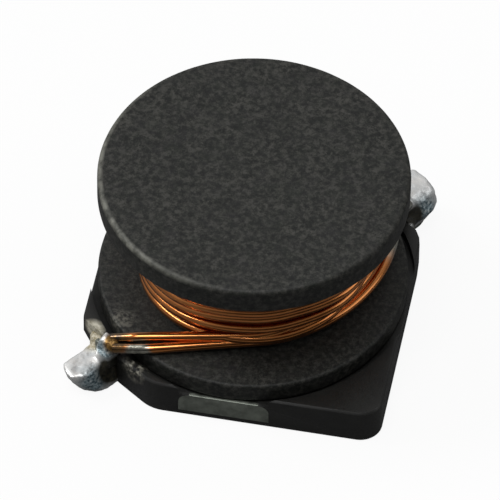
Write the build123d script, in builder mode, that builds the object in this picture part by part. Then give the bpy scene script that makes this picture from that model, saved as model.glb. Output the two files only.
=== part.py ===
from build123d import *

import os
from math import acos, atan2, cos, degrees, hypot, radians, sin

# An unshielded drum core power inductor for surface mounting, in millimetres.
# A ferrite drum core is glued into the round pocket of a moulded base and carries a winding of two
# strands laid side by side. Both ends of each strand are led out over the lower flange and soldered
# to folded sheet terminals at two opposite corners of the base.
# The origin is on the board, under the axis of the core. +Z is up and -Y is the front. The winding
# starts at the front left corner and ends at the back right one.

# Base
base_side = 12.6
base_height = 1.63
floor_height = 1.2
standoff = 0.03
cut_along_x = 3.35
cut_along_y = 2.35
kept_corner_radius = 0.9
cut_corner_radius = 1.5
base_edge_break = 0.08
notch_depth = 0.38
notch_end = -0.75

# Drum core
flange_inset = 0.05
core_height = 6.73
lower_flange_thickness = 0.95
upper_flange_thickness = 1.2
hub_diameter = 5.8
flange_edge_break = 0.18
core_clearance = 0.31

# Glue under the core
glue_diameter = 5.0
glue_thickness = 0.1

# Winding
wire_diameter = 0.41
turn_pitch = 0.42
wound_layers = 4
winding_clearance = 0.03
crest_flat_angle = 20.0
groove_depth = 0.135
lead_lift = 0.08

# Leads, with angles in degrees, seen from above and counterclockwise from +X. An end is given by its
# distance from the cut face and its place along that face.
lead_bend_radius = 1.0
merge_radius = 3.4
merge_angle = 45.0
start_end_a = (0.09, -0.86)
start_end_b = (-0.15, -1.34)
start_turn_a = 9.9
start_turn_b = 7.0
rim_inset = 0.06
rim_gap_a = 0.065
rim_gap_b = 0.115
finish_end_a = (0.07, -1.9)
finish_end_b = (0.03, -1.48)
finish_turn_a = -17.6
finish_turn_b = -18.3
arc_inset_a = 0.35
arc_inset_b = 0.73
leave_azimuth_a = -44.0
leave_azimuth_b = -27.4
bend_place = 0.6

# Terminals
sheet_thickness = 0.2
sheet_bend_radius = 0.15
pad_width = 3.7
pad_length = 2.65
plate_corner_radius = 0.45
strap_width = 1.0
lug_width = 0.65
lug_offset = -1.5
lug_anchor = 1.85
lug_reach = 1.2
lug_height = 1.1
lug_bend_radius = 0.3
post_rise = 0.22

# Solder on the lugs
solder_cover = 0.1
solder_edge_break = 0.12
near_foot = -1.9
near_face = -2.2
ridge = -1.2
far_face = -0.8
slope_height = 0.77
crown_top = 2.0
crown_near = -1.7
crown_far = -0.85
crown_side = -0.45
crown_end_cut = 0.3
end_lean = 0.55
end_cover = 0.1
far_cut_outward = 0.5
far_cut_along = 0.7
near_cut_outward = 0.28
near_cut_along = 0.45
shoulder_near = -2.6
shoulder_width = 0.45
shoulder_height = 1.55
mound_width = 1.05
mound_outward = 0.42
mound_inward = 0.3
mound_edge_break = 0.22

# Places that follow from the sizes above
half_side = base_side / 2
wire_radius = wire_diameter / 2
flange_radius = half_side - flange_inset
hub_radius = hub_diameter / 2
pocket_radius = flange_radius + core_clearance
window_bottom = floor_height + lower_flange_thickness
window_top = floor_height + core_height - upper_flange_thickness
cut_length = hypot(cut_along_x, cut_along_y)
cut_azimuth = degrees(atan2(-cut_along_x, -cut_along_y))
cut_distance = (half_side * (cut_along_x + cut_along_y) - cut_along_x * cut_along_y) / cut_length
notch_face = cut_distance - notch_depth
sides = {"left": cut_azimuth, "right": cut_azimuth + 180}

# Turns of the outer layer, with the layers under it nested in the grooves of each other
layer_step = wire_diameter * cos(radians(30))
coil_radius = hub_radius + winding_clearance + wire_radius + (wound_layers - 1) * layer_step
first_turn = window_bottom + winding_clearance + wire_radius
turn_room = window_top - winding_clearance - wire_radius - first_turn
turn_heights = [first_turn + i * turn_pitch for i in range(int(turn_room / turn_pitch) + 1)]
lead_height_a = turn_heights[0] + lead_lift
lead_height_b = turn_heights[1] + lead_lift
post_top = base_height + post_rise
wire_end_height = post_top + wire_radius + winding_clearance


def toward(azimuth):
    """Unit vector in the horizontal plane."""
    return Vector(cos(radians(azimuth)), sin(radians(azimuth)), 0)


def plan_plane(azimuth, height):
    """Horizontal plane at a cut corner: x runs outwards, y runs along the cut face."""
    return Plane(origin=(0, 0, height), x_dir=toward(azimuth), z_dir=(0, 0, 1))


def side_plane(azimuth, offset):
    """Upright plane through a cut corner: x runs outwards, y runs up."""
    return Plane(origin=toward(azimuth + 90) * offset, x_dir=toward(azimuth), z_dir=toward(azimuth - 90))


def end_plane(azimuth, distance):
    """Upright plane across a cut corner: x runs along the cut face, y runs up, z outwards."""
    return Plane(origin=toward(azimuth) * distance, x_dir=toward(azimuth + 90), z_dir=toward(azimuth))


def corner_point(azimuth, place, height):
    """Point given by its distance from the cut face and its place along that face."""
    outwards, along = place
    on_floor = toward(azimuth) * (cut_distance + outwards) + toward(azimuth + 90) * along
    return on_floor + Vector(0, 0, height)


def azimuth_of(point):
    """Azimuth of a point, seen from the axis of the core."""
    return degrees(atan2(point.Y, point.X))


def on_arc(start, heading, inward, radius, angle):
    """Point of an arc that leaves start along heading and turns towards inward."""
    turned = radians(angle)
    return start + heading * (radius * sin(turned)) + inward * (radius * (1 - cos(turned)))


# One ferrite bobbin: a hub with a wide flange at each end, its rim edges broken in the press tool.
with BuildPart() as drum_core:
    with BuildSketch(Plane.XZ) as core_section:
        with BuildLine():
            Polyline(
                (0, floor_height),
                (flange_radius, floor_height),
                (flange_radius, window_bottom),
                (hub_radius, window_bottom),
                (hub_radius, window_top),
                (flange_radius, window_top),
                (flange_radius, floor_height + core_height),
                (0, floor_height + core_height),
                close=True,
            )
        make_face()
        chamfer(core_section.vertices().group_by(Axis.X)[-1], length=flange_edge_break)
    revolve(axis=Axis.Z)

# One folded sheet: pad under the base, plate up the side face, strap to the corner, and the lug,
# which is folded back over itself against the cut face and turned up there as a post for the wires.
with BuildPart() as terminal_left:
    with BuildSketch(Plane.YZ):
        with BuildLine():
            FilletPolyline(
                (pad_length - half_side, sheet_thickness / 2),
                (sheet_thickness / 2 - half_side, sheet_thickness / 2),
                (sheet_thickness / 2 - half_side, floor_height),
                radius=sheet_bend_radius,
            )
        trace(line_width=sheet_thickness)
    extrude(amount=pad_width / 2, both=True)
    plate_corners = terminal_left.edges().filter_by(Axis.Y).group_by(Axis.Z)[-1]
    fillet(plate_corners, radius=plate_corner_radius)

    strap_far_corner = corner_point(cut_azimuth, (-lug_anchor + lug_width / 2, lug_offset), 0)
    with BuildSketch(Plane.XY):
        with BuildLine():
            Polyline(
                (0, pad_length - half_side),
                (strap_far_corner.X, pad_length - half_side),
                (strap_far_corner.X, pad_length - half_side - strap_width),
                (0, pad_length - half_side - strap_width),
                close=True,
            )
        make_face()
    extrude(amount=sheet_thickness)

    with BuildSketch(side_plane(cut_azimuth, lug_offset)):
        with BuildLine():
            FilletPolyline(
                (cut_distance - lug_anchor, sheet_thickness / 2),
                (cut_distance + lug_reach - sheet_thickness / 2, sheet_thickness / 2),
                (cut_distance + lug_reach - sheet_thickness / 2, lug_height - sheet_thickness / 2),
                (cut_distance + sheet_thickness / 2, lug_height - sheet_thickness / 2),
                (cut_distance + sheet_thickness / 2, post_top),
                radius=lug_bend_radius,
            )
        trace(line_width=sheet_thickness)
    extrude(amount=lug_width / 2, both=True)

# The second terminal is the first one turned half way round.
with BuildPart() as terminal_right:
    add(terminal_left.part, rotation=(0, 0, 180))

# Moulded base: two corners cut off for the lugs, a round pocket for the lower flange, which breaks
# through the middle of all four sides, and the terminals' own shapes moulded in.
with BuildPart() as base:
    with BuildSketch(Plane.XY.offset(standoff)):
        with BuildLine():
            FilletPolyline(
                (cut_along_x - half_side, -half_side),
                (half_side, -half_side),
                (half_side, half_side - cut_along_y),
                (half_side - cut_along_x, half_side),
                (-half_side, half_side),
                (-half_side, cut_along_y - half_side),
                radius=(
                    cut_corner_radius,
                    kept_corner_radius,
                    cut_corner_radius,
                    cut_corner_radius,
                    kept_corner_radius,
                    cut_corner_radius,
                ),
                close=True,
            )
        make_face()
    extrude(amount=base_height - standoff)
    chamfer(base.faces().sort_by(Axis.Z)[-1].edges(), length=base_edge_break)
    with BuildSketch(Plane.XY.offset(floor_height)):
        Circle(pocket_radius)
    extrude(amount=base_height, mode=Mode.SUBTRACT)
    with BuildSketch(Plane.XY.offset(floor_height)):
        Circle(glue_diameter / 2)
    extrude(amount=-glue_thickness, mode=Mode.SUBTRACT)
    # Each cut corner is notched behind its lug.
    for azimuth in sides.values():
        with BuildSketch(plan_plane(azimuth, standoff)):
            with BuildLine():
                Polyline(
                    (notch_face, notch_end),
                    (notch_face, -cut_length),
                    (half_side + cut_length, -cut_length),
                    (half_side + cut_length, notch_end),
                    close=True,
                )
            make_face()
        extrude(amount=base_height, mode=Mode.SUBTRACT)
    add(terminal_left.part, mode=Mode.SUBTRACT)
    add(terminal_right.part, mode=Mode.SUBTRACT)

# Cured glue between the floor of the pocket and the core.
with BuildPart() as core_adhesive:
    with BuildSketch(Plane.XY.offset(floor_height)):
        Circle(glue_diameter / 2)
    extrude(amount=-glue_thickness)

# The winding: one ring for each turn of the outer layer, a flat crest between sloping grooves, and
# four lead wires. A lead comes off the outer layer at a tangent, passes over the rim of the lower
# flange and bends down to its lug.
with BuildPart() as winding:
    inner_radius = hub_radius + winding_clearance
    crest_radius = coil_radius + wire_radius * cos(radians(crest_flat_angle))
    crest_rise = wire_radius * sin(radians(crest_flat_angle))
    groove_radius = coil_radius + wire_radius - groove_depth
    outline = [(inner_radius, turn_heights[0] - turn_pitch / 2)]
    for height in turn_heights:
        outline += [
            (groove_radius, height - turn_pitch / 2),
            (crest_radius, height - crest_rise),
            (crest_radius, height + crest_rise),
        ]
    outline += [
        (groove_radius, turn_heights[-1] + turn_pitch / 2),
        (inner_radius, turn_heights[-1] + turn_pitch / 2),
    ]
    with BuildSketch(Plane.XZ):
        with BuildLine():
            Polyline(outline, close=True)
        make_face()
    revolve(axis=Axis.Z)

    starts = (
        (start_end_a, start_turn_a, rim_gap_a, lead_height_a),
        (start_end_b, start_turn_b, rim_gap_b, lead_height_b),
    )
    for wire_end, turn, rim_gap, lead_height in starts:
        end_point = corner_point(cut_azimuth, wire_end, wire_end_height)
        rim_azimuth = azimuth_of(end_point) + turn
        rim_radius = flange_radius - rim_inset
        over_rim = toward(rim_azimuth) * rim_radius + Vector(0, 0, window_bottom + rim_gap + wire_radius)
        touch_azimuth = rim_azimuth + degrees(acos(coil_radius / rim_radius))
        touch = toward(touch_azimuth) * coil_radius + Vector(0, 0, lead_height)
        heading = (touch - over_rim).normalized()
        inward = -toward(touch_azimuth)
        with BuildLine() as start_route:
            FilletPolyline(end_point, over_rim, touch, radius=lead_bend_radius)
            ThreePointArc(
                touch,
                on_arc(touch, heading, inward, merge_radius, merge_angle / 2),
                on_arc(touch, heading, inward, merge_radius, merge_angle),
            )
        with BuildSketch(Plane(origin=start_route.wire() @ 0, z_dir=start_route.wire() % 0)):
            Circle(wire_radius)
        sweep(path=start_route.wire())

    finishes = (
        (finish_end_a, finish_turn_a, arc_inset_a, leave_azimuth_a, lead_height_a),
        (finish_end_b, finish_turn_b, arc_inset_b, leave_azimuth_b, lead_height_b),
    )
    for wire_end, turn, arc_inset, leave_azimuth, lead_height in finishes:
        end_point = corner_point(cut_azimuth + 180, wire_end, wire_end_height)
        touch = toward(leave_azimuth) * coil_radius + Vector(0, 0, lead_height)
        heading = toward(leave_azimuth + 90)
        inward = -toward(leave_azimuth)
        arc_azimuth = azimuth_of(end_point) + turn
        arc_end = toward(arc_azimuth) * (flange_radius - arc_inset) + Vector(0, 0, lead_height)
        over_level = Vector(end_point.X, end_point.Y, lead_height)
        run = bend_place * (over_level - arc_end).length
        with BuildLine() as finish_route:
            ThreePointArc(
                on_arc(touch, heading, inward, merge_radius, -merge_angle),
                on_arc(touch, heading, inward, merge_radius, -merge_angle / 2),
                touch,
            )
            departure = TangentArc(touch, arc_end, tangent=heading)
            bend = arc_end + (departure % 1) * run
            FilletPolyline(arc_end, bend, end_point, radius=lead_bend_radius)
        with BuildSketch(Plane(origin=finish_route.wire() @ 0, z_dir=finish_route.wire() % 0)):
            Circle(wire_radius)
        sweep(path=finish_route.wire())

# Solder: a lump with flat, slanting faces over each folded lug, a shoulder that fills the notch, and a
# mound over the wire ends. The right lump rises to a crown.
solder = {}
wire_places = {
    "left": (start_end_a[1] + start_end_b[1]) / 2,
    "right": (finish_end_a[1] + finish_end_b[1]) / 2,
}
solder_top = lug_height + solder_cover
end_foot = cut_distance + lug_reach + end_cover
end_head = end_foot + end_lean
mound_top = wire_end_height + wire_radius + solder_cover
sections = {
    "left": (
        (near_foot, standoff),
        (near_face, solder_top),
        (ridge, solder_top),
        (far_face, solder_top - slope_height),
        (far_face, standoff),
    ),
    "right": (
        (near_foot, standoff),
        (near_face, solder_top),
        (crown_near, crown_top),
        (crown_far, crown_top),
        (crown_side, solder_top),
        (far_face, standoff),
    ),
}
for side, azimuth in sides.items():
    section = sections[side]
    near_side = min(along for along, height in section)
    far_side = max(along for along, height in section)
    with BuildPart() as lump:
        with BuildSketch(end_plane(azimuth, notch_face)):
            with BuildLine():
                Polyline(section, close=True)
            make_face()
        extrude(amount=end_head - notch_face)
        # The end leans out towards its widest place, and its two corners are cut off.
        with BuildSketch(side_plane(azimuth, near_side)):
            with BuildLine():
                Polyline(
                    (end_foot, standoff),
                    (end_head, solder_top),
                    (end_head - crown_end_cut, crown_top),
                    (end_head + end_lean, crown_top),
                    (end_head + end_lean, standoff),
                    close=True,
                )
            make_face()
        extrude(amount=near_side - far_side, mode=Mode.SUBTRACT)
        with BuildSketch(plan_plane(azimuth, standoff)):
            with BuildLine():
                Polyline(
                    (end_foot - far_cut_outward, far_side),
                    (end_head, far_side - far_cut_along),
                    (end_head, far_side),
                    close=True,
                )
            make_face()
            with BuildLine():
                Polyline(
                    (end_head - near_cut_outward, near_side),
                    (end_head, near_side + near_cut_along),
                    (end_head, near_side),
                    close=True,
                )
            make_face()
        extrude(amount=crown_top - standoff, mode=Mode.SUBTRACT)
        top_edges = lump.faces().sort_by(Axis.Z)[-1].edges().sort_by(Axis((0, 0, 0), toward(azimuth)))
        chamfer(top_edges[1:], length=solder_edge_break)
        with BuildSketch(plan_plane(azimuth, standoff)):
            with BuildLine():
                Polyline(
                    (notch_face, shoulder_near),
                    (notch_face, notch_end),
                    (notch_face + shoulder_width, notch_end),
                    (notch_face + shoulder_width, shoulder_near),
                    close=True,
                )
            make_face()
        extrude(amount=shoulder_height - standoff)
        with BuildSketch(plan_plane(azimuth, lug_height)):
            with Locations((cut_distance + (mound_outward - mound_inward) / 2, wire_places[side])):
                Rectangle(mound_outward + mound_inward, mound_width)
        extrude(amount=mound_top - lug_height)
        chamfer(lump.faces().sort_by(Axis.Z)[-1].edges(), length=mound_edge_break)
        add(terminal_left.part, mode=Mode.SUBTRACT)
        add(terminal_right.part, mode=Mode.SUBTRACT)
        add(base.part, mode=Mode.SUBTRACT)
        add(winding.part, mode=Mode.SUBTRACT)
    solder[side] = lump.part

pieces = {
    "drum_core": drum_core.part,
    "base": base.part,
    "core_adhesive": core_adhesive.part,
    "terminal_left": terminal_left.part,
    "terminal_right": terminal_right.part,
    "winding": winding.part,
    "solder_left": solder["left"],
    "solder_right": solder["right"],
}
os.makedirs("parts", exist_ok=True)
for name, piece in pieces.items():
    piece.label = name
    export_step(piece, f"parts/{name}.step")
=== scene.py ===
import math

import bmesh
import bpy
from mathutils import Matrix, Vector, noise


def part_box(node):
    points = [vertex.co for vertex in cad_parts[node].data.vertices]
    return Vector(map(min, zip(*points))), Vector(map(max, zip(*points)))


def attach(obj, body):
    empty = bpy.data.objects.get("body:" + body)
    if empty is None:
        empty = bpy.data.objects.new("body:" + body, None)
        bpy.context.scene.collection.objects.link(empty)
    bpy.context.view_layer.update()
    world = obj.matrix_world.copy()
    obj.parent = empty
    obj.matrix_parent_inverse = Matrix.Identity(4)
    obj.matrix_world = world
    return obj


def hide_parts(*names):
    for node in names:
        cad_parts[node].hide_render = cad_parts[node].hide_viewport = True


# An unshielded drum core inductor on a moulded base. Shapes are worked out in millimetres, with +Z up
# and -Y the front, and turned into metres when each piece is made.
MM = 0.001

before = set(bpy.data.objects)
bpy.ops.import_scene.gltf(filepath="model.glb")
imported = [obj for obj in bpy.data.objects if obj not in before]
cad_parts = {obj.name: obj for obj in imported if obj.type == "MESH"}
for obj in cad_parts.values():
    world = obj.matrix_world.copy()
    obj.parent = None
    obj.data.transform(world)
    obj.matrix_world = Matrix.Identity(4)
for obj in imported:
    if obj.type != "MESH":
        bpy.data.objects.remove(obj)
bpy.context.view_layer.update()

# Sizes that the frame gives
core_low, core_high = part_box("drum_core")
base_low, base_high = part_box("base")
half_side = base_high.x / MM
base_bottom = base_low.z / MM
core_bottom = core_low.z / MM
core_top = core_high.z / MM
flange_radius = core_high.x / MM

# Core. The window is what stays open between its flanges.
hub_radius = 2.9
lower_flange = 0.95
upper_flange = 1.2
window_bottom = core_bottom + lower_flange
window_top = core_top - upper_flange
rim_round = 0.21
inner_rim_round = 0.14
hub_fillet = 0.3

# Base and terminals. Two corners are cut off, left and right, and a lug stands out of each cut face.
# The edges are the widths to which sharp edges are rounded.
cut_distance = 6.852
cut_azimuth = -125.05
base_edge = 0.04
sheet_edge = 0.03

# Winding
wire_radius = 0.205
winding_clearance = 0.03
turn_pitch = 0.42
turns = 10
wound_layers = 4
layer_step = 0.355
coil_radius = hub_radius + winding_clearance + wire_radius + (wound_layers - 1) * layer_step
first_turn = window_bottom + winding_clearance + wire_radius

# How loose the turns lie. Each rises over the front, and some are slack on the right, from the bottom up.
outer_play = 0.1
outer_bulge = 0.14
lowest_lifts = [0.42, 0.64]
next_lift = 0.84
lift_step = 0.075
lowest_slacks = [0.0, 0.3, 0.42, 0.36, 0.22]
under_play = 0.08
under_lift = 0.3
under_bulge = 0.1

# Leads. The tail of a lead is the stretch that turns into the coil and is hidden there. A finish lead
# bends down at bend_place, a share of the way from its arc to above its end. The lower lead of each pair
# lies higher than the solid's by its rise.
lead_lift = 0.08
lead_height_a = first_turn + lead_lift
lead_height_b = first_turn + turn_pitch + lead_lift
start_rise = 0.08
finish_rise = 0.1
wire_end_height = 2.085
lead_bend = 1.0
rim_inset = 0.06
bend_place = 0.6
tail_radius = 3.4
tail_angle = 45
tail_steps = 14

# Solder, which reaches from a little way behind the cut face to beyond the lug
solder_inside = -0.3
solder_reach = 1.92

# Camera, from the photograph: it looks at target from far away
camera_azimuth = 10.334
camera_elevation = 49.506
camera_roll = 0.631
camera_distance = 320.0
pixels_per_mm = 24.89
picture_side = 500
sensor_width = 36.0
target = Vector((0, 0, 3.5))
picture_shift = Vector((0.135, 0.175))

# Floor, in metres. It lies a hair below the object, so that their faces don't share a plane.
floor_side = 6.0
floor_drop = 0.00002


def toward(azimuth, length=1.0, height=0.0):
    """Point at a distance from the axis, with the azimuth in degrees counterclockwise from +X."""
    angle = math.radians(azimuth)
    return Vector((length * math.cos(angle), length * math.sin(angle), height))


def corner_point(side, outwards, along, height):
    """Point given by its distance from a cut face and its place along that face."""
    azimuth = cut_azimuth + (180 if side == "right" else 0)
    return toward(azimuth, cut_distance + outwards, height) + toward(azimuth + 90, along)


def azimuth_of(point):
    """Azimuth of a point in degrees, seen from the axis."""
    return math.degrees(math.atan2(point.y, point.x))


# Materials


class Nodes:
    """A node tree that is put together by calls. Each call gives an output that the next ones can take."""

    def __init__(self, tree):
        self.tree = tree

    def socket(self, sockets, key):
        """A socket by its place or by its identifier, because sockets of a node can share a name."""
        if isinstance(key, int):
            return sockets[key]
        return next(socket for socket in sockets if socket.identifier == key)

    def add(self, kind, inputs, output, **settings):
        """One node. Its inputs take values or other nodes' outputs."""
        node = self.tree.nodes.new(kind)
        for name, value in settings.items():
            setattr(node, name, value)
        for key, value in inputs.items():
            socket = self.socket(node.inputs, key)
            if isinstance(value, bpy.types.NodeSocket):
                self.tree.links.new(value, socket)
            else:
                socket.default_value = value
        return self.socket(node.outputs, output)

    def map(self, source, low, high, to_low=0.0, to_high=1.0):
        """The source's values from low to high, spread over another range."""
        inputs = {"Value": source, "From Min": low, "From Max": high, "To Min": to_low, "To Max": to_high}
        return self.add("ShaderNodeMapRange", inputs, "Result")

    def math(self, operation, first, second=0.0, clamp=True):
        inputs = {0: first, 1: second}
        return self.add("ShaderNodeMath", inputs, "Value", operation=operation, use_clamp=clamp)

    def vector_math(self, operation, inputs, output):
        return self.add("ShaderNodeVectorMath", inputs, output, operation=operation)

    def ramp(self, source, *stops):
        """Colours by the source's value, from (value, colour) stops."""
        node = self.tree.nodes.new("ShaderNodeValToRGB")
        elements = node.color_ramp.elements
        while len(elements) < len(stops):
            elements.new(0.5)
        for element, (position, colour) in zip(elements, stops):
            element.position = position
            element.color = (*colour, 1)
        self.tree.links.new(source, node.inputs["Fac"])
        return node.outputs["Color"]

    def mix(self, factor, first, second):
        """The first colour where the factor is 0, and the second one where it is 1."""
        inputs = {"Factor_Float": factor}
        for key, colour in (("A_Color", first), ("B_Color", second)):
            inputs[key] = (*colour, 1) if isinstance(colour, tuple) else colour
        return self.add("ShaderNodeMix", inputs, "Result_Color", data_type="RGBA")


class Recipe(Nodes):
    """Nodes of one material, with object positions in millimetres."""

    def __init__(self, name):
        self.material = bpy.data.materials.new(name)
        self.material.use_nodes = True
        super().__init__(self.material.node_tree)
        self.shader = self.tree.nodes["Principled BSDF"]
        coordinates = self.tree.nodes.new("ShaderNodeTexCoord")
        self.uv = coordinates.outputs["UV"]
        metres = coordinates.outputs["Object"]
        self.place = self.vector_math("SCALE", {0: metres, "Scale": 1 / MM}, "Vector")

    def set(self, **values):
        """Give the shader's own sockets their values, with underscores for the spaces in their names."""
        for name, value in values.items():
            self.shader.inputs[name.replace("_", " ")].default_value = value

    def feed(self, name, output):
        """Link a node's output to the shader."""
        self.tree.links.new(output, self.shader.inputs[name])

    def noise(self, scale, detail, roughness, place=None):
        vector = place or self.place
        inputs = {"Scale": scale, "Detail": detail, "Roughness": roughness, "Vector": vector}
        return self.add("ShaderNodeTexNoise", inputs, "Fac")

    def stretch(self, place, factors):
        return self.vector_math("MULTIPLY", {0: place, 1: factors}, "Vector")

    def patch(self, point, whole, end, most=1.0, least=0.0):
        """A round patch: all there within one distance of a point, and gone from the other on."""
        distance = self.vector_math("DISTANCE", {0: self.place, 1: point}, "Value")
        return self.map(distance, whole, end, most, least)

    def patches(self, *places):
        """Patches run together, each given by its point and its two distances."""
        cover = 0.0
        for place in places:
            cover = self.math("MAXIMUM", self.patch(*place), cover)
        return cover

    def near_rim(self, height, radius, reach):
        """1 on a round edge at that height and radius, 0 from the reach on."""
        upright = self.add("ShaderNodeSeparateXYZ", {0: self.place}, "Z")
        outwards = self.vector_math("LENGTH", {0: self.stretch(self.place, (1, 1, 0))}, "Value")
        across = self.math("ABSOLUTE", self.math("SUBTRACT", outwards, radius, clamp=False))
        up = self.math("ABSOLUTE", self.math("SUBTRACT", upright, height, clamp=False))
        whole = 0.3 * reach
        return self.map(self.math("ADD", across, up), whole, reach, 1.0, 0.0)

    def bump(self, height, strength, depth):
        """Surface relief, with the depth in millimetres."""
        inputs = {"Strength": strength, "Distance": depth * MM, "Height": height}
        self.feed("Normal", self.add("ShaderNodeBump", inputs, "Normal"))


def ferrite():
    """Pressed and sintered ferrite: dark greenish grey, grainy, with cloudy patches and pale specks."""
    look = Recipe("ferrite")
    clouds = look.noise(scale=1.0, detail=4, roughness=0.6)
    grains = look.noise(scale=4.2, detail=5, roughness=0.8)
    specks = look.noise(scale=15.0, detail=2, roughness=0.6)
    casts = look.noise(scale=2.2, detail=3, roughness=0.6)
    speck_colour = (0.07, 0.07, 0.06)
    # Pale tone of the rubbed upper rim, which also stands in for a painted highlight
    rubbed_and_lit_colour = (0.28, 0.28, 0.24)
    flux_colour = (0.13, 0.125, 0.105)
    mottled = look.ramp(
        grains,
        (0.41, (0.0025, 0.003, 0.0025)),
        (0.47, (0.0115, 0.0125, 0.0105)),
        (0.53, (0.025, 0.025, 0.021)),
        (0.60, (0.048, 0.047, 0.042)),
    )
    tinge = look.ramp(casts, (0.35, (0.012, 0.0155, 0.011)), (0.65, (0.018, 0.0165, 0.0185)))
    colour = look.mix(look.map(clouds, 0.35, 0.65, 0.6, 1.0), tinge, mottled)
    colour = look.mix(look.map(specks, 0.62, 0.75, 0.0, 0.5), colour, speck_colour)
    # The upper rim is rubbed bright and carries a painted highlight, strongest on the left where the light
    # falls, and flux has dried on the lower flange.
    lit_left_rim = toward(-160, flange_radius, core_top)
    wear_and_highlight = look.near_rim(core_top, flange_radius, 0.24)
    wear_and_highlight = look.math("MULTIPLY", wear_and_highlight, look.map(casts, 0.35, 0.6, 0.2, 1.0))
    wear_and_highlight = look.math("MULTIPLY", wear_and_highlight, look.patch(lit_left_rim, 3.0, 7.0, least=0.05))
    colour = look.mix(wear_and_highlight, colour, rubbed_and_lit_colour)
    dried = look.patch(corner_point("left", -1.1, -1.7, window_bottom), 0.25, 0.7)
    dried = look.math("MULTIPLY", dried, look.map(grains, 0.42, 0.58))
    look.feed("Base Color", look.mix(dried, colour, flux_colour))
    look.feed("Roughness", look.map(wear_and_highlight, 0.0, 1.0, 0.56, 0.36))
    look.set(Specular_IOR_Level=0.35)
    look.bump(grains, strength=0.5, depth=0.03)
    return look.material


def moulded_plastic():
    """Black moulding compound with a fine grain and faint flow marks."""
    look = Recipe("moulded_plastic")
    clouds = look.noise(scale=0.8, detail=4, roughness=0.6)
    grain = look.noise(scale=14.0, detail=3, roughness=0.6)
    spots = look.noise(scale=3.6, detail=4, roughness=0.7)
    plastic = look.ramp(clouds, (0.3, (0.004, 0.004, 0.0038)), (0.7, (0.011, 0.011, 0.0095)))
    # Flux has dried pale on the corner beside the left lug, and on the edge below the wires.
    residue = look.ramp(spots, (0.35, (0.24, 0.22, 0.15)), (0.65, (0.72, 0.69, 0.58)))
    corner = look.patch(corner_point("left", -0.2, -2.45, 1.4), 0.4, 0.65)
    edge = look.patch(corner_point("left", -0.1, 0.15, 1.5), 0.2, 0.75, most=0.4)
    edge = look.math("MULTIPLY", edge, look.map(spots, 0.45, 0.6))
    look.feed("Base Color", look.mix(look.math("MAXIMUM", corner, edge), plastic, residue))
    look.feed("Roughness", look.map(grain, 0.3, 0.7, 0.36, 0.56))
    look.set(Specular_IOR_Level=0.5)
    look.bump(grain, strength=0.4, depth=0.012)
    return look.material


def enamelled_copper(name, dipped):
    """Copper under clear amber enamel, with draw lines along the wire. Dipped wires have tinned ends."""
    look = Recipe(name)
    along = look.noise(scale=1.6, detail=3, roughness=0.5)
    lines = look.noise(scale=1.0, detail=2, roughness=0.5, place=look.stretch(look.uv, (0.6, 60.0, 0.0)))
    colour = look.ramp(along, (0.3, (0.55, 0.17, 0.024)), (0.7, (0.67, 0.235, 0.045)))
    if dipped:
        # The strands that meet the solder are dipped in tin, and burnt flux darkens them beside it.
        stains = look.noise(scale=3.0, detail=4, roughness=0.7)
        tin = look.ramp(stains, (0.35, (0.16, 0.16, 0.13)), (0.65, (0.52, 0.5, 0.42)))
        flux = look.ramp(stains, (0.35, (0.03, 0.014, 0.003)), (0.65, (0.24, 0.12, 0.025)))
        left_tin = look.patch(corner_point("left", -0.4, 0.1, 2.15), 0.5, 0.66)
        right_tin = look.patch(corner_point("right", 0.0, -1.7, wire_end_height), 3.0, 4.0)
        left_flux = look.patch(corner_point("left", -0.05, -1.1, 2.1), 0.6, 0.95)
        for place, cover in ((left_tin, tin), (right_tin, tin), (left_flux, flux)):
            colour = look.mix(place, colour, cover)
    look.feed("Base Color", colour)
    look.set(Metallic=1.0, Coat_Weight=0.9, Coat_Roughness=0.12, Coat_IOR=1.55)
    look.feed("Roughness", look.map(along, 0.3, 0.7, 0.15, 0.24))
    look.bump(lines, strength=0.12, depth=0.004)
    return look.material


def tinned_sheet():
    """Tinned sheet: grey, a little dull, with stains."""
    look = Recipe("tinned_sheet")
    stains = look.noise(scale=1.5, detail=4, roughness=0.6)
    grain = look.noise(scale=12.0, detail=3, roughness=0.6)
    look.feed("Base Color", look.ramp(stains, (0.35, (0.18, 0.195, 0.17)), (0.7, (0.38, 0.41, 0.36))))
    look.feed("Roughness", look.map(stains, 0.3, 0.7, 0.4, 0.6))
    look.set(Metallic=1.0)
    look.bump(grain, strength=0.2, depth=0.008)
    return look.material


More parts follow.
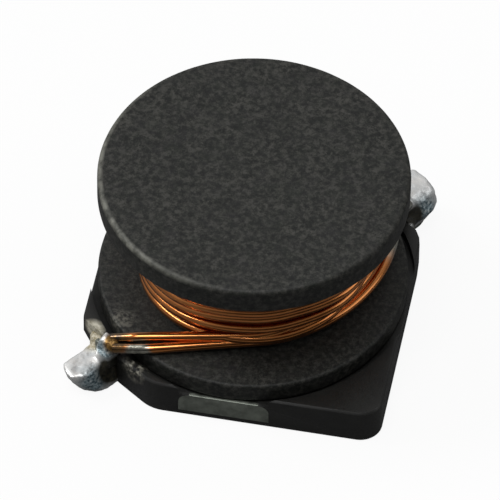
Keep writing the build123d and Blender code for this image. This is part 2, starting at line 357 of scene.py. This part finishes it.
def bright_solder():
    """Solidified solder: bright, with soft ripples and dull grains."""
    look = Recipe("bright_solder")
    ripples = look.noise(scale=1.8, detail=3, roughness=0.5)
    grain = look.noise(scale=9.0, detail=4, roughness=0.65)
    clean = look.ramp(ripples, (0.3, (0.86, 0.89, 0.90)), (0.7, (1.0, 0.98, 0.95)))
    # Painted blue-dark reflection of the surroundings, laid on steep faces in spots
    blue_reflection = look.ramp(
        grain,
        (0.38, (0.06, 0.10, 0.12)),
        (0.5, (0.30, 0.39, 0.43)),
        (0.6, (0.52, 0.6, 0.62)),
        (0.68, (0.9, 0.94, 0.94)),
    )
    browned = look.ramp(grain, (0.35, (0.08, 0.035, 0.006)), (0.65, (0.34, 0.2, 0.06)))
    residue = look.ramp(grain, (0.35, (0.24, 0.2, 0.1)), (0.65, (0.72, 0.67, 0.54)))
    # Near black: burnt flux and painted shade in the hollows beside the lugs
    burnt_flux_and_shade = look.ramp(grain, (0.35, (0.002, 0.003, 0.002)), (0.65, (0.03, 0.026, 0.014)))
    # Steep faces get a painted blue-dark reflection in spots, and flux has browned the left mound.
    reflection_spots = look.patches(
        (corner_point("left", 1.1, -1.0, 0.7), 0.4, 0.8),
        (corner_point("left", 0.3, -1.15, 1.9), 0.3, 0.55),
        (corner_point("right", 0.8, -2.15, 1.35), 0.35, 0.8),
    )
    amber = look.patches((corner_point("left", -0.05, -0.95, 2.25), 0.35, 0.55))
    # Painted shade mixed with burnt flux lies dark in the corners under the wires, and flux is pale where
    # it ran over the base.
    pale = look.patches(
        (corner_point("left", -0.3, -2.35, 1.55), 0.7, 1.0),
        (corner_point("right", -0.1, -2.35, 1.1), 0.18, 0.32),
    )
    shade_and_flux = look.patches(
        (corner_point("left", 0.15, -0.75, 0.9), 0.62, 0.95),
        (corner_point("right", 0.1, -1.95, 1.4), 0.5, 0.75),
    )
    colour = clean
    for cover, over in ((reflection_spots, blue_reflection), (amber, browned), (pale, residue), (shade_and_flux, burnt_flux_and_shade)):
        colour = look.mix(cover, colour, over)
    look.feed("Base Color", colour)
    dull = look.math("ADD", shade_and_flux, pale)
    look.feed("Metallic", look.map(dull, 0.0, 1.0, 0.7, 0.1))
    rough = look.map(grain, 0.3, 0.7, 0.26, 0.44)
    look.feed("Roughness", look.math("ADD", rough, look.map(dull, 0.0, 1.0, 0.0, 0.2)))
    look.bump(ripples, strength=0.35, depth=0.05)
    return look.material


def cured_glue():
    """Amber epoxy with a dull skin."""
    look = Recipe("cured_glue")
    clouds = look.noise(scale=1.2, detail=3, roughness=0.5)
    look.feed("Base Color", look.ramp(clouds, (0.3, (0.30, 0.14, 0.03)), (0.7, (0.42, 0.22, 0.06))))
    look.set(Roughness=0.35)
    return look.material


# Shapes


def mesh_object(name, vertices, faces, material, uv_of_vertex=None):
    """Object on the root body, from millimetre vertices."""
    mesh = bpy.data.meshes.new(name)
    mesh.from_pydata([Vector(vertex) * MM for vertex in vertices], [], faces)
    if uv_of_vertex:
        layer = mesh.uv_layers.new(name="along_and_around")
        for loop in mesh.loops:
            layer.data[loop.index].uv = uv_of_vertex[loop.vertex_index]
    return dressed(name, mesh, material)


def dressed(name, mesh, material, smooth_angle=40.0):
    """Object on the root body, shaded smooth up to an angle in degrees."""
    piece = bpy.data.objects.new(name, mesh)
    bpy.context.scene.collection.objects.link(piece)
    mesh.materials.clear()
    mesh.materials.append(material)
    mesh.shade_smooth()
    mesh.set_sharp_from_angle(angle=math.radians(smooth_angle))
    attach(piece, "root")
    return piece


def rough_object(name, mesh):
    """Object that stays in the scene until its modifiers are applied."""
    rough = bpy.data.objects.new(name + "_rough", mesh)
    bpy.context.scene.collection.objects.link(rough)
    return rough


def settled(rough):
    """Mesh of an object after its modifiers. The object itself is removed."""
    graph = bpy.context.evaluated_depsgraph_get()
    mesh = bpy.data.meshes.new_from_object(rough.evaluated_get(graph))
    bpy.data.objects.remove(rough)
    return mesh


def arc_points(centre, radius, start, end, steps):
    """Points (x, y) of an arc, with angles in degrees."""
    angles = [math.radians(start + (end - start) * step / steps) for step in range(steps + 1)]
    return [(centre[0] + radius * math.cos(a), centre[1] + radius * math.sin(a)) for a in angles]


def lathe(name, profile, segments, wobble, material):
    """Closed solid turned about +Z from (radius, height) points that start and end on the axis.

    Its wall is uneven by the wobble.
    """
    wobble_scale = 1.7
    vertices = [(0, 0, profile[0][1])]
    for radius, height in profile[1:-1]:
        for segment in range(segments):
            azimuth = 360 * segment / segments
            point = toward(azimuth, radius, height)
            vertices.append(point + toward(azimuth) * (noise.noise(point * wobble_scale) * wobble))
    vertices.append((0, 0, profile[-1][1]))
    last_vertex = len(vertices) - 1
    last_ring = last_vertex - segments
    faces = []
    for here in range(segments):
        beside = (here + 1) % segments
        faces.append((0, 1 + beside, 1 + here))
        for low in range(1, last_ring, segments):
            high = low + segments
            faces.append((low + here, low + beside, high + beside, high + here))
        faces.append((last_vertex, last_ring + here, last_ring + beside))
    return mesh_object(name, vertices, faces, material)


def tube(paths, radius, sides):
    """Vertices, faces and UVs of round wires along point lists. A path whose ends meet is closed."""
    meeting_distance = 1e-6
    vertices, faces, uvs = [], [], []
    for path in paths:
        closed = (path[0] - path[-1]).length < meeting_distance
        points = path[:-1] if closed else path
        base = len(vertices)
        count = len(points)
        travelled = 0.0
        normal = Vector((0, 0, 1))
        for place, point in enumerate(points):
            before = points[place - 1] if place or closed else point
            after = points[(place + 1) % count] if place < count - 1 or closed else point
            heading = (after - before).normalized()
            normal = (normal - heading * normal.dot(heading)).normalized()
            across = heading.cross(normal)
            if place:
                travelled += (point - points[place - 1]).length
            for side in range(sides):
                angle = 2 * math.pi * side / sides
                vertices.append(point + (across * math.cos(angle) + normal * math.sin(angle)) * radius)
                uvs.append((travelled, side / sides))
        for place in range(count if closed else count - 1):
            low, high = base + place * sides, base + ((place + 1) % count) * sides
            for side in range(sides):
                beside = (side + 1) % sides
                faces.append((low + side, low + beside, high + beside, high + side))
        if not closed:
            faces.append(tuple(base + side for side in reversed(range(sides))))
            faces.append(tuple(base + (count - 1) * sides + side for side in range(sides)))
    return vertices, faces, uvs


def rounded_path(corners, radius, step=0.08):
    """Points along straight runs joined by tangent arcs."""
    path = [corners[0]]
    for before, corner, after in zip(corners, corners[1:], corners[2:]):
        into, out = (corner - before).normalized(), (after - corner).normalized()
        turn = into.angle(out)
        reach = radius * math.tan(turn / 2)
        bisector = (out - into).normalized()
        centre = corner + bisector * (radius / math.cos(turn / 2))
        steps = max(3, int(radius * turn / step))
        start = corner - into * reach - centre
        axis = start.cross(corner + out * reach - centre)
        path += [centre + Matrix.Rotation(turn * i / steps, 3, axis) @ start for i in range(steps + 1)]
    path.append(corners[-1])
    return path


def softened(node, name, width, material, steps=3, cuts=()):
    """Copy of a CAD node with its sharp edges rounded. Each cut takes a corner off by three points."""
    merge_distance = 1e-7
    flat_angle = math.radians(1.0)
    sharp_angle = math.radians(35)
    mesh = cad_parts[node].data.copy()
    mesh.name = name
    shape = bmesh.new()
    shape.from_mesh(mesh)
    bmesh.ops.remove_doubles(shape, verts=shape.verts, dist=merge_distance)
    bmesh.ops.dissolve_limit(shape, angle_limit=flat_angle, verts=shape.verts, edges=shape.edges)
    for first, second, third in cuts:
        everything = shape.verts[:] + shape.edges[:] + shape.faces[:]
        outward = (second - first).cross(third - first)
        cut = bmesh.ops.bisect_plane(
            shape, geom=everything, plane_co=first * MM, plane_no=outward, clear_outer=True
        )
        rim = [part for part in cut["geom_cut"] if isinstance(part, bmesh.types.BMEdge)]
        bmesh.ops.contextual_create(shape, geom=rim)
    shape.to_mesh(mesh)
    shape.free()
    rough = rough_object(name, mesh)
    bevel = rough.modifiers.new("round_edges", "BEVEL")
    bevel.width = width * MM
    bevel.segments = steps
    bevel.limit_method = "ANGLE"
    bevel.angle_limit = sharp_angle
    return dressed(name, settled(rough), material)


def cast_lump(name, hulls, material, voxel=0.05, smoothing=70, unevenness=0.04):
    """Solder: convex bodies run together, their edges drawn round and their faces a little uneven."""
    swell_scale, ripple_scale, ripple_share = 2.3, 6.1, 0.4
    shape = bmesh.new()
    for points in hulls:
        made = [shape.verts.new(point) for point in points]
        hull = bmesh.ops.convex_hull(shape, input=made)
        spare = [part for part in set(hull["geom_interior"] + hull["geom_unused"]) if part.is_valid]
        bmesh.ops.delete(shape, geom=[part for part in spare if isinstance(part, bmesh.types.BMVert)])
    mesh = bpy.data.meshes.new(name)
    shape.to_mesh(mesh)
    shape.free()
    rough = rough_object(name, mesh)
    remesh = rough.modifiers.new("run_together", "REMESH")
    remesh.mode = "VOXEL"
    remesh.voxel_size = voxel
    smooth = rough.modifiers.new("draw_round", "SMOOTH")
    smooth.factor = 0.5
    smooth.iterations = smoothing
    mesh = settled(rough)
    for vertex in mesh.vertices:
        swell = noise.noise(vertex.co * swell_scale)
        ripple = noise.noise(vertex.co * ripple_scale)
        vertex.co += vertex.normal * ((swell + ripple_share * ripple) * unevenness)
    mesh.transform(Matrix.Scale(MM, 4))
    return dressed(name, mesh, material, smooth_angle=180)


# Core, base and terminals


def make_core(material):
    """Ferrite bobbin with rounded rims and a fillet at each end of the hub."""
    rim, inner_rim, fillet = rim_round, inner_rim_round, hub_fillet
    rim_steps, top_rim_steps, fillet_steps = 5, 6, 4
    # Rings divide the flat faces, to keep the faces of the mesh short.
    bottom_rings = (2.0, 4.0)
    top_rings = (5.2, 4.0, 2.6, 1.2)
    profile = [(0, core_bottom)] + [(radius, core_bottom) for radius in bottom_rings]
    rim_centre = flange_radius - rim
    inner_rim_centre = flange_radius - inner_rim
    fillet_centre = hub_radius + fillet
    profile += arc_points((rim_centre, core_bottom + rim), rim, -90, 0, rim_steps)
    profile += arc_points((inner_rim_centre, window_bottom - inner_rim), inner_rim, 0, 90, rim_steps)
    profile += arc_points((fillet_centre, window_bottom + fillet), fillet, 270, 180, fillet_steps)
    profile += arc_points((fillet_centre, window_top - fillet), fillet, 180, 90, fillet_steps)
    profile += arc_points((inner_rim_centre, window_top + inner_rim), inner_rim, -90, 0, rim_steps)
    profile += arc_points((rim_centre, core_top - rim), rim, 0, 90, top_rim_steps)
    profile += [(radius, core_top) for radius in top_rings] + [(0, core_top)]
    core = lathe("drum_core_body", profile, segments=192, wobble=0.006, material=material)
    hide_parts("drum_core")


def base_cuts():
    """Cuts by three points: one corner is rubbed round, and both corners beside the lugs are undercut."""
    upright = Vector((0, 0, 1))
    half_turn = Matrix.Diagonal((-1, -1, 1))
    rubbed = [Vector(point) for point in ((half_side, 3.0, 0), (6.23, 3.3, 0), (6.06, 3.62, 0))]
    cuts = [(start, end, start + upright) for start, end in zip(rubbed, rubbed[1:])]
    undercut = (
        Vector((-half_side, -2.6, base_bottom)),
        Vector((-5.6, -3.98, base_bottom)),
        Vector((-half_side, -3.49, 0.95)),
    )
    return cuts + [undercut, tuple(half_turn @ point for point in undercut)]


def make_base(material):
    """Moulded base with its edges softened."""
    base = softened("base", "base_body", base_edge, material, cuts=base_cuts())
    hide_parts("base")


def make_terminals(material):
    """Both folded sheets, with their edges softened."""
    for side in ("left", "right"):
        terminal = softened("terminal_" + side, "terminal_body_" + side, sheet_edge, material, steps=2)
        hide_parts("terminal_" + side)


def dress_adhesive(material):
    """The glue keeps its CAD shape and gets its material."""
    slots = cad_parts["core_adhesive"].data.materials
    slots.clear()
    slots.append(material)


# Winding


def eased(value, low, high):
    """0 up to the low value and 1 from the high one on, with a smooth step between them."""
    share = min(max((value - low) / (high - low), 0), 1)
    return share * share * (3 - 2 * share)


def ring(height, radius, lift, bulge, slack, steps):
    """One turn. It rises over the front, above the leads, bulges on the left and is slack on the right."""
    path = []
    for step in range(steps):
        azimuth = -180 + 360 * step / steps
        front = eased(azimuth, -148, -82) * (1 - eased(azimuth, 0, 130))
        left = eased(abs(azimuth), 125, 168)
        right = eased(azimuth, -60, -15) * (1 - eased(azimuth, 5, 60))
        path.append(toward(azimuth, radius + bulge * left + slack * right, height + lift * front))
    return path + [path[0].copy()]


def on_arc(start, heading, inward, radius, angle):
    """Point on a circle that leaves a start with a heading, after an angle in radians."""
    return start + heading * (radius * math.sin(angle)) + inward * (radius * (1 - math.cos(angle)))


def tail(touch, heading, azimuth, sense):
    """The hidden end of a lead, from where it touches the coil on, or backwards with a sense of -1."""
    angles = [math.radians(sense * tail_angle * step / tail_steps) for step in range(1, tail_steps + 1)]
    return [on_arc(touch, heading, -toward(azimuth), tail_radius, angle) for angle in angles]


def start_lead(outwards, along, turn, rim_gap, height):
    """From the left lug over the rim of the lower flange and into the coil at a tangent.

    It crosses the rim a turn in degrees on from its end, with a gap below it.
    """
    end = corner_point("left", outwards, along, wire_end_height)
    rim_radius = flange_radius - rim_inset
    rim_azimuth = azimuth_of(end) + turn
    over_rim = toward(rim_azimuth, rim_radius, window_bottom + rim_gap + wire_radius)
    touch_azimuth = rim_azimuth + math.degrees(math.acos(coil_radius / rim_radius))
    touch = toward(touch_azimuth, coil_radius, height)
    heading = (touch - over_rim).normalized()
    return rounded_path([end, over_rim, touch], lead_bend) + tail(touch, heading, touch_azimuth, 1)


def finish_lead(outwards, along, turn, arc_inset, leave_azimuth, height):
    """Off the coil at a tangent, round above the flange and down to the right lug.

    Its arc ends a turn in degrees on from its end, at an inset from the edge of the flange.
    """
    end = corner_point("right", outwards, along, wire_end_height)
    touch = toward(leave_azimuth, coil_radius, height)
    heading = toward(leave_azimuth + 90)
    path = tail(touch, heading, leave_azimuth, -1)[::-1]
    arc_end = toward(azimuth_of(end) + turn, flange_radius - arc_inset, height)
    chord = arc_end - touch
    bend = 2 * heading.angle(chord)
    radius = chord.length / (2 * math.sin(bend / 2))
    left = Vector((-heading.y, heading.x, 0))
    inward = left if left.dot(chord) > 0 else -left
    steps = 24
    path += [on_arc(touch, heading, inward, radius, bend * step / steps) for step in range(steps)]
    out = heading * math.cos(bend) + inward * math.sin(bend)
    over_end = Vector((end.x, end.y, height))
    corner = arc_end + out * (bend_place * (over_end - arc_end).length)
    return path + rounded_path([arc_end, corner, end], lead_bend)


def make_winding(turn_material, lead_material):
    """Turns of the outer layer, those of the layer below, seen between them, and four leads."""
    lifts = lowest_lifts + [next_lift - lift_step * step for step in range(turns - len(lowest_lifts))]
    slacks = lowest_slacks + [0.0] * (turns - len(lowest_slacks))
    heights = [first_turn + turn_pitch * turn for turn in range(turns)]
    outer = [
        ring(height, coil_radius + outer_play, lift, outer_bulge, slack, steps=180)
        for height, lift, slack in zip(heights, lifts, slacks)
    ]
    under_radius = coil_radius - layer_step + under_play
    under = [
        ring(height + turn_pitch / 2, under_radius, under_lift, under_bulge, slack=0.0, steps=120)
        for height in heights[:-1]
    ]
    leads = [
        start_lead(outwards=0.09, along=-0.86, turn=9.9, rim_gap=0.065, height=lead_height_a + start_rise),
        start_lead(outwards=-0.15, along=-1.34, turn=7.0, rim_gap=0.115, height=lead_height_b),
        finish_lead(
            outwards=0.07, along=-1.9, turn=-17.6, arc_inset=0.47, leave_azimuth=-60.0,
            height=lead_height_a + finish_rise,
        ),
        finish_lead(
            outwards=0.03, along=-1.48, turn=-18.3, arc_inset=0.72, leave_azimuth=-46.0,
            height=lead_height_b,
        ),
    ]
    for name, paths, sides, material in (
        ("winding_turns", outer, 20, turn_material),
        ("winding_under_layer", under, 12, turn_material),
        ("winding_leads", leads, 24, lead_material),
    ):
        vertices, faces, uvs = tube(paths, wire_radius, sides)
        piece = mesh_object(name, vertices, faces, material, uvs)
        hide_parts("winding")


# Solder. Its points give the distance out from the cut face, the place along that face and the height.


def layered(*layers):
    """Points of outlines laid at their heights."""
    return [(outwards, along, height) for height, outline in layers for outwards, along in outline]


def bar(place, half_length, *section):
    """Points of a bar that lies along the cut face, round a place, from its (outwards, height) section."""
    ends = (place - half_length, place + half_length)
    return [(outwards, along, height) for outwards, height in section for along in ends]


def left_cover():
    """Slanting faces over the left lug, widest at the crown."""
    near, near_foot, far = -2.27, -1.95, -0.8
    foot, crown = 1.36, 1.24
    back_foot = foot - 0.4
    return layered(
        (base_bottom, [
            (solder_inside, near_foot), (foot, near_foot), (foot, -1.3), (back_foot, far),
            (solder_inside, far),
        ]),
        (crown, [
            (solder_inside, near), (solder_reach - 0.28, near), (solder_reach, near + 0.45),
            (solder_reach, -1.45), (1.4, -1.1), (solder_inside, -1.1),
        ]),
        (0.46, [(solder_inside, far), (back_foot, far)]),
        (base_bottom, [(0.5, -0.66), (solder_inside, -0.66)]),
    )


def right_cover():
    """Slanting faces over the right lug, drawn up to the mound."""
    near_foot, far_foot, crown = -1.75, -0.8, 1.2
    return layered(
        (base_bottom, [
            (solder_inside, near_foot), (1.08, near_foot), (0.8, far_foot), (solder_inside, far_foot),
        ]),
        (crown, [
            (solder_inside, -2.3), (1.15, -2.33), (1.68, -2.05), (1.88, -1.65), (solder_reach, -0.95),
            (0.8, -0.2), (solder_inside, -0.2),
        ]),
        (2.12, [(0.0, -1.5), (solder_reach - 0.3, -1.5), (solder_reach - 0.32, -0.66), (0.0, -0.36)]),
        (1.82, [(0.0, -1.98), (solder_reach - 0.34, -1.95)]),
    )


def make_solder(material):
    """Each lump covers its lug, fills the notch behind it and has a mound over the wire ends."""
    notch_filling = [
        (-0.36, -1.9, 0.1), (0.06, -1.9, 0.1), (-0.36, -2.5, 1.0), (0.02, -2.45, 1.1),
        (-0.36, -2.55, 1.6), (0.0, -2.4, 1.5), (-0.36, -0.9, 1.5), (0.06, -0.9, 1.5),
        (-0.36, -0.9, 0.1), (0.06, -0.9, 0.1),
    ]
    for side, cover, wires in (("left", left_cover(), -1.2), ("right", right_cover(), -1.69)):
        mound = bar(wires, 0.38, (solder_inside, 1.64), (0.44, 1.64), (0.28, 2.26), (-0.2, 2.38))
        column = bar(wires, 0.4, (solder_inside, 1.0), (0.42, 1.0), (0.42, 1.9), (solder_inside, 1.9))
        groups = (cover, mound, notch_filling, column)
        hulls = [[corner_point(side, *point) for point in points] for points in groups]
        lump = cast_lump("solder_lump_" + side, hulls, material)
        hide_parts("solder_" + side)


# Surroundings


def make_floor():
    """Floor that is near white to the camera, shows the object's shadow and throws little light back."""
    glow_share = 0.92
    seen_tone = (0.9, 0.9, 0.9)
    thrown_tone = (0.17, 0.17, 0.17)
    bpy.ops.mesh.primitive_plane_add(size=floor_side, location=(0, 0, -floor_drop))
    floor = bpy.context.object
    floor.name = "studio_floor"
    look = Recipe("studio_floor")
    seen = look.add("ShaderNodeLightPath", {}, "Is Camera Ray")
    glow = look.add("ShaderNodeEmission", {"Color": (1, 1, 1, 1), "Strength": 1.0}, "Emission")
    look.feed("Base Color", look.mix(seen, thrown_tone, seen_tone))
    look.set(Roughness=0.7)
    share = look.math("MULTIPLY", seen, glow_share)
    surface = look.add("ShaderNodeMixShader", {0: share, 1: look.shader.outputs["BSDF"], 2: glow}, 0)
    look.tree.links.new(surface, look.tree.nodes["Material Output"].inputs["Surface"])
    floor.data.materials.append(look.material)


def make_world():
    """White to the camera, and soft light on the object, most of it from above, the back and the left."""
    brightest = toward(125, 0.65, 0.75)
    world = bpy.data.worlds.new("studio")
    bpy.context.scene.world = world
    world.use_nodes = True
    nodes = Nodes(world.node_tree)
    around = nodes.add("ShaderNodeTexCoord", {}, "Generated")
    facing = nodes.vector_math("DOT_PRODUCT", {0: around, 1: brightest}, "Value")
    level = nodes.map(facing, -0.3, 0.9, 0.02, 0.5)
    seen = nodes.add("ShaderNodeLightPath", {}, "Is Camera Ray")
    inputs = {"Factor_Float": seen, "A_Float": level, "B_Float": 1.0}
    strength = nodes.add("ShaderNodeMix", inputs, "Result_Float")
    background = nodes.tree.nodes["Background"]
    background.inputs["Color"].default_value = (1, 1, 1, 1)
    nodes.tree.links.new(strength, background.inputs["Strength"])


def add_softbox(name, azimuth, elevation, distance, size, power):
    """Square lamp that faces the object, in degrees, metres and watts."""
    lamp = bpy.data.lights.new(name, "AREA")
    lamp.shape = "SQUARE"
    lamp.size = size
    lamp.energy = power
    holder = bpy.data.objects.new(name, lamp)
    bpy.context.scene.collection.objects.link(holder)
    up = math.radians(elevation)
    direction = toward(azimuth) * math.cos(up) + Vector((0, 0, math.sin(up)))
    holder.location = direction * distance
    holder.rotation_euler = direction.to_track_quat("Z", "Y").to_euler()


def make_camera():
    """Camera at the photograph's angle, with a long lens."""
    azimuth, elevation, roll = map(math.radians, (camera_azimuth, camera_elevation, camera_roll))
    back = Vector((
        math.sin(azimuth) * math.cos(elevation),
        -math.cos(azimuth) * math.cos(elevation),
        math.sin(elevation),
    ))
    level = Vector((math.cos(azimuth), math.sin(azimuth), 0))
    above = back.cross(level)
    right = level * math.cos(roll) + above * math.sin(roll)
    up = above * math.cos(roll) - level * math.sin(roll)
    centre = target - right * picture_shift.x - up * picture_shift.y + back * camera_distance
    data = bpy.data.cameras.new("camera")
    data.sensor_width = sensor_width
    data.lens = pixels_per_mm * camera_distance * sensor_width / picture_side
    data.clip_start = 0.01
    data.clip_end = 20
    camera = bpy.data.objects.new("camera", data)
    bpy.context.scene.collection.objects.link(camera)
    turned = Matrix((right, up, back)).transposed().to_4x4()
    camera.matrix_world = Matrix.Translation(centre * MM) @ turned
    bpy.context.scene.camera = camera


# The object and what surrounds it
make_core(ferrite())
make_base(moulded_plastic())
make_terminals(tinned_sheet())
turn_copper = enamelled_copper("enamelled_copper", dipped=False)
make_winding(turn_copper, enamelled_copper("dipped_copper", dipped=True))
make_solder(bright_solder())
dress_adhesive(cured_glue())
make_floor()
make_world()
add_softbox("lamp_left", azimuth=176, elevation=47, distance=0.55, size=0.16, power=0.9)
add_softbox("lamp_above", azimuth=250, elevation=76, distance=0.6, size=0.3, power=1.37)
add_softbox("lamp_right", azimuth=5, elevation=30, distance=0.6, size=0.3, power=0.28)
make_camera()
bpy.context.scene.view_settings.view_transform = "Standard"
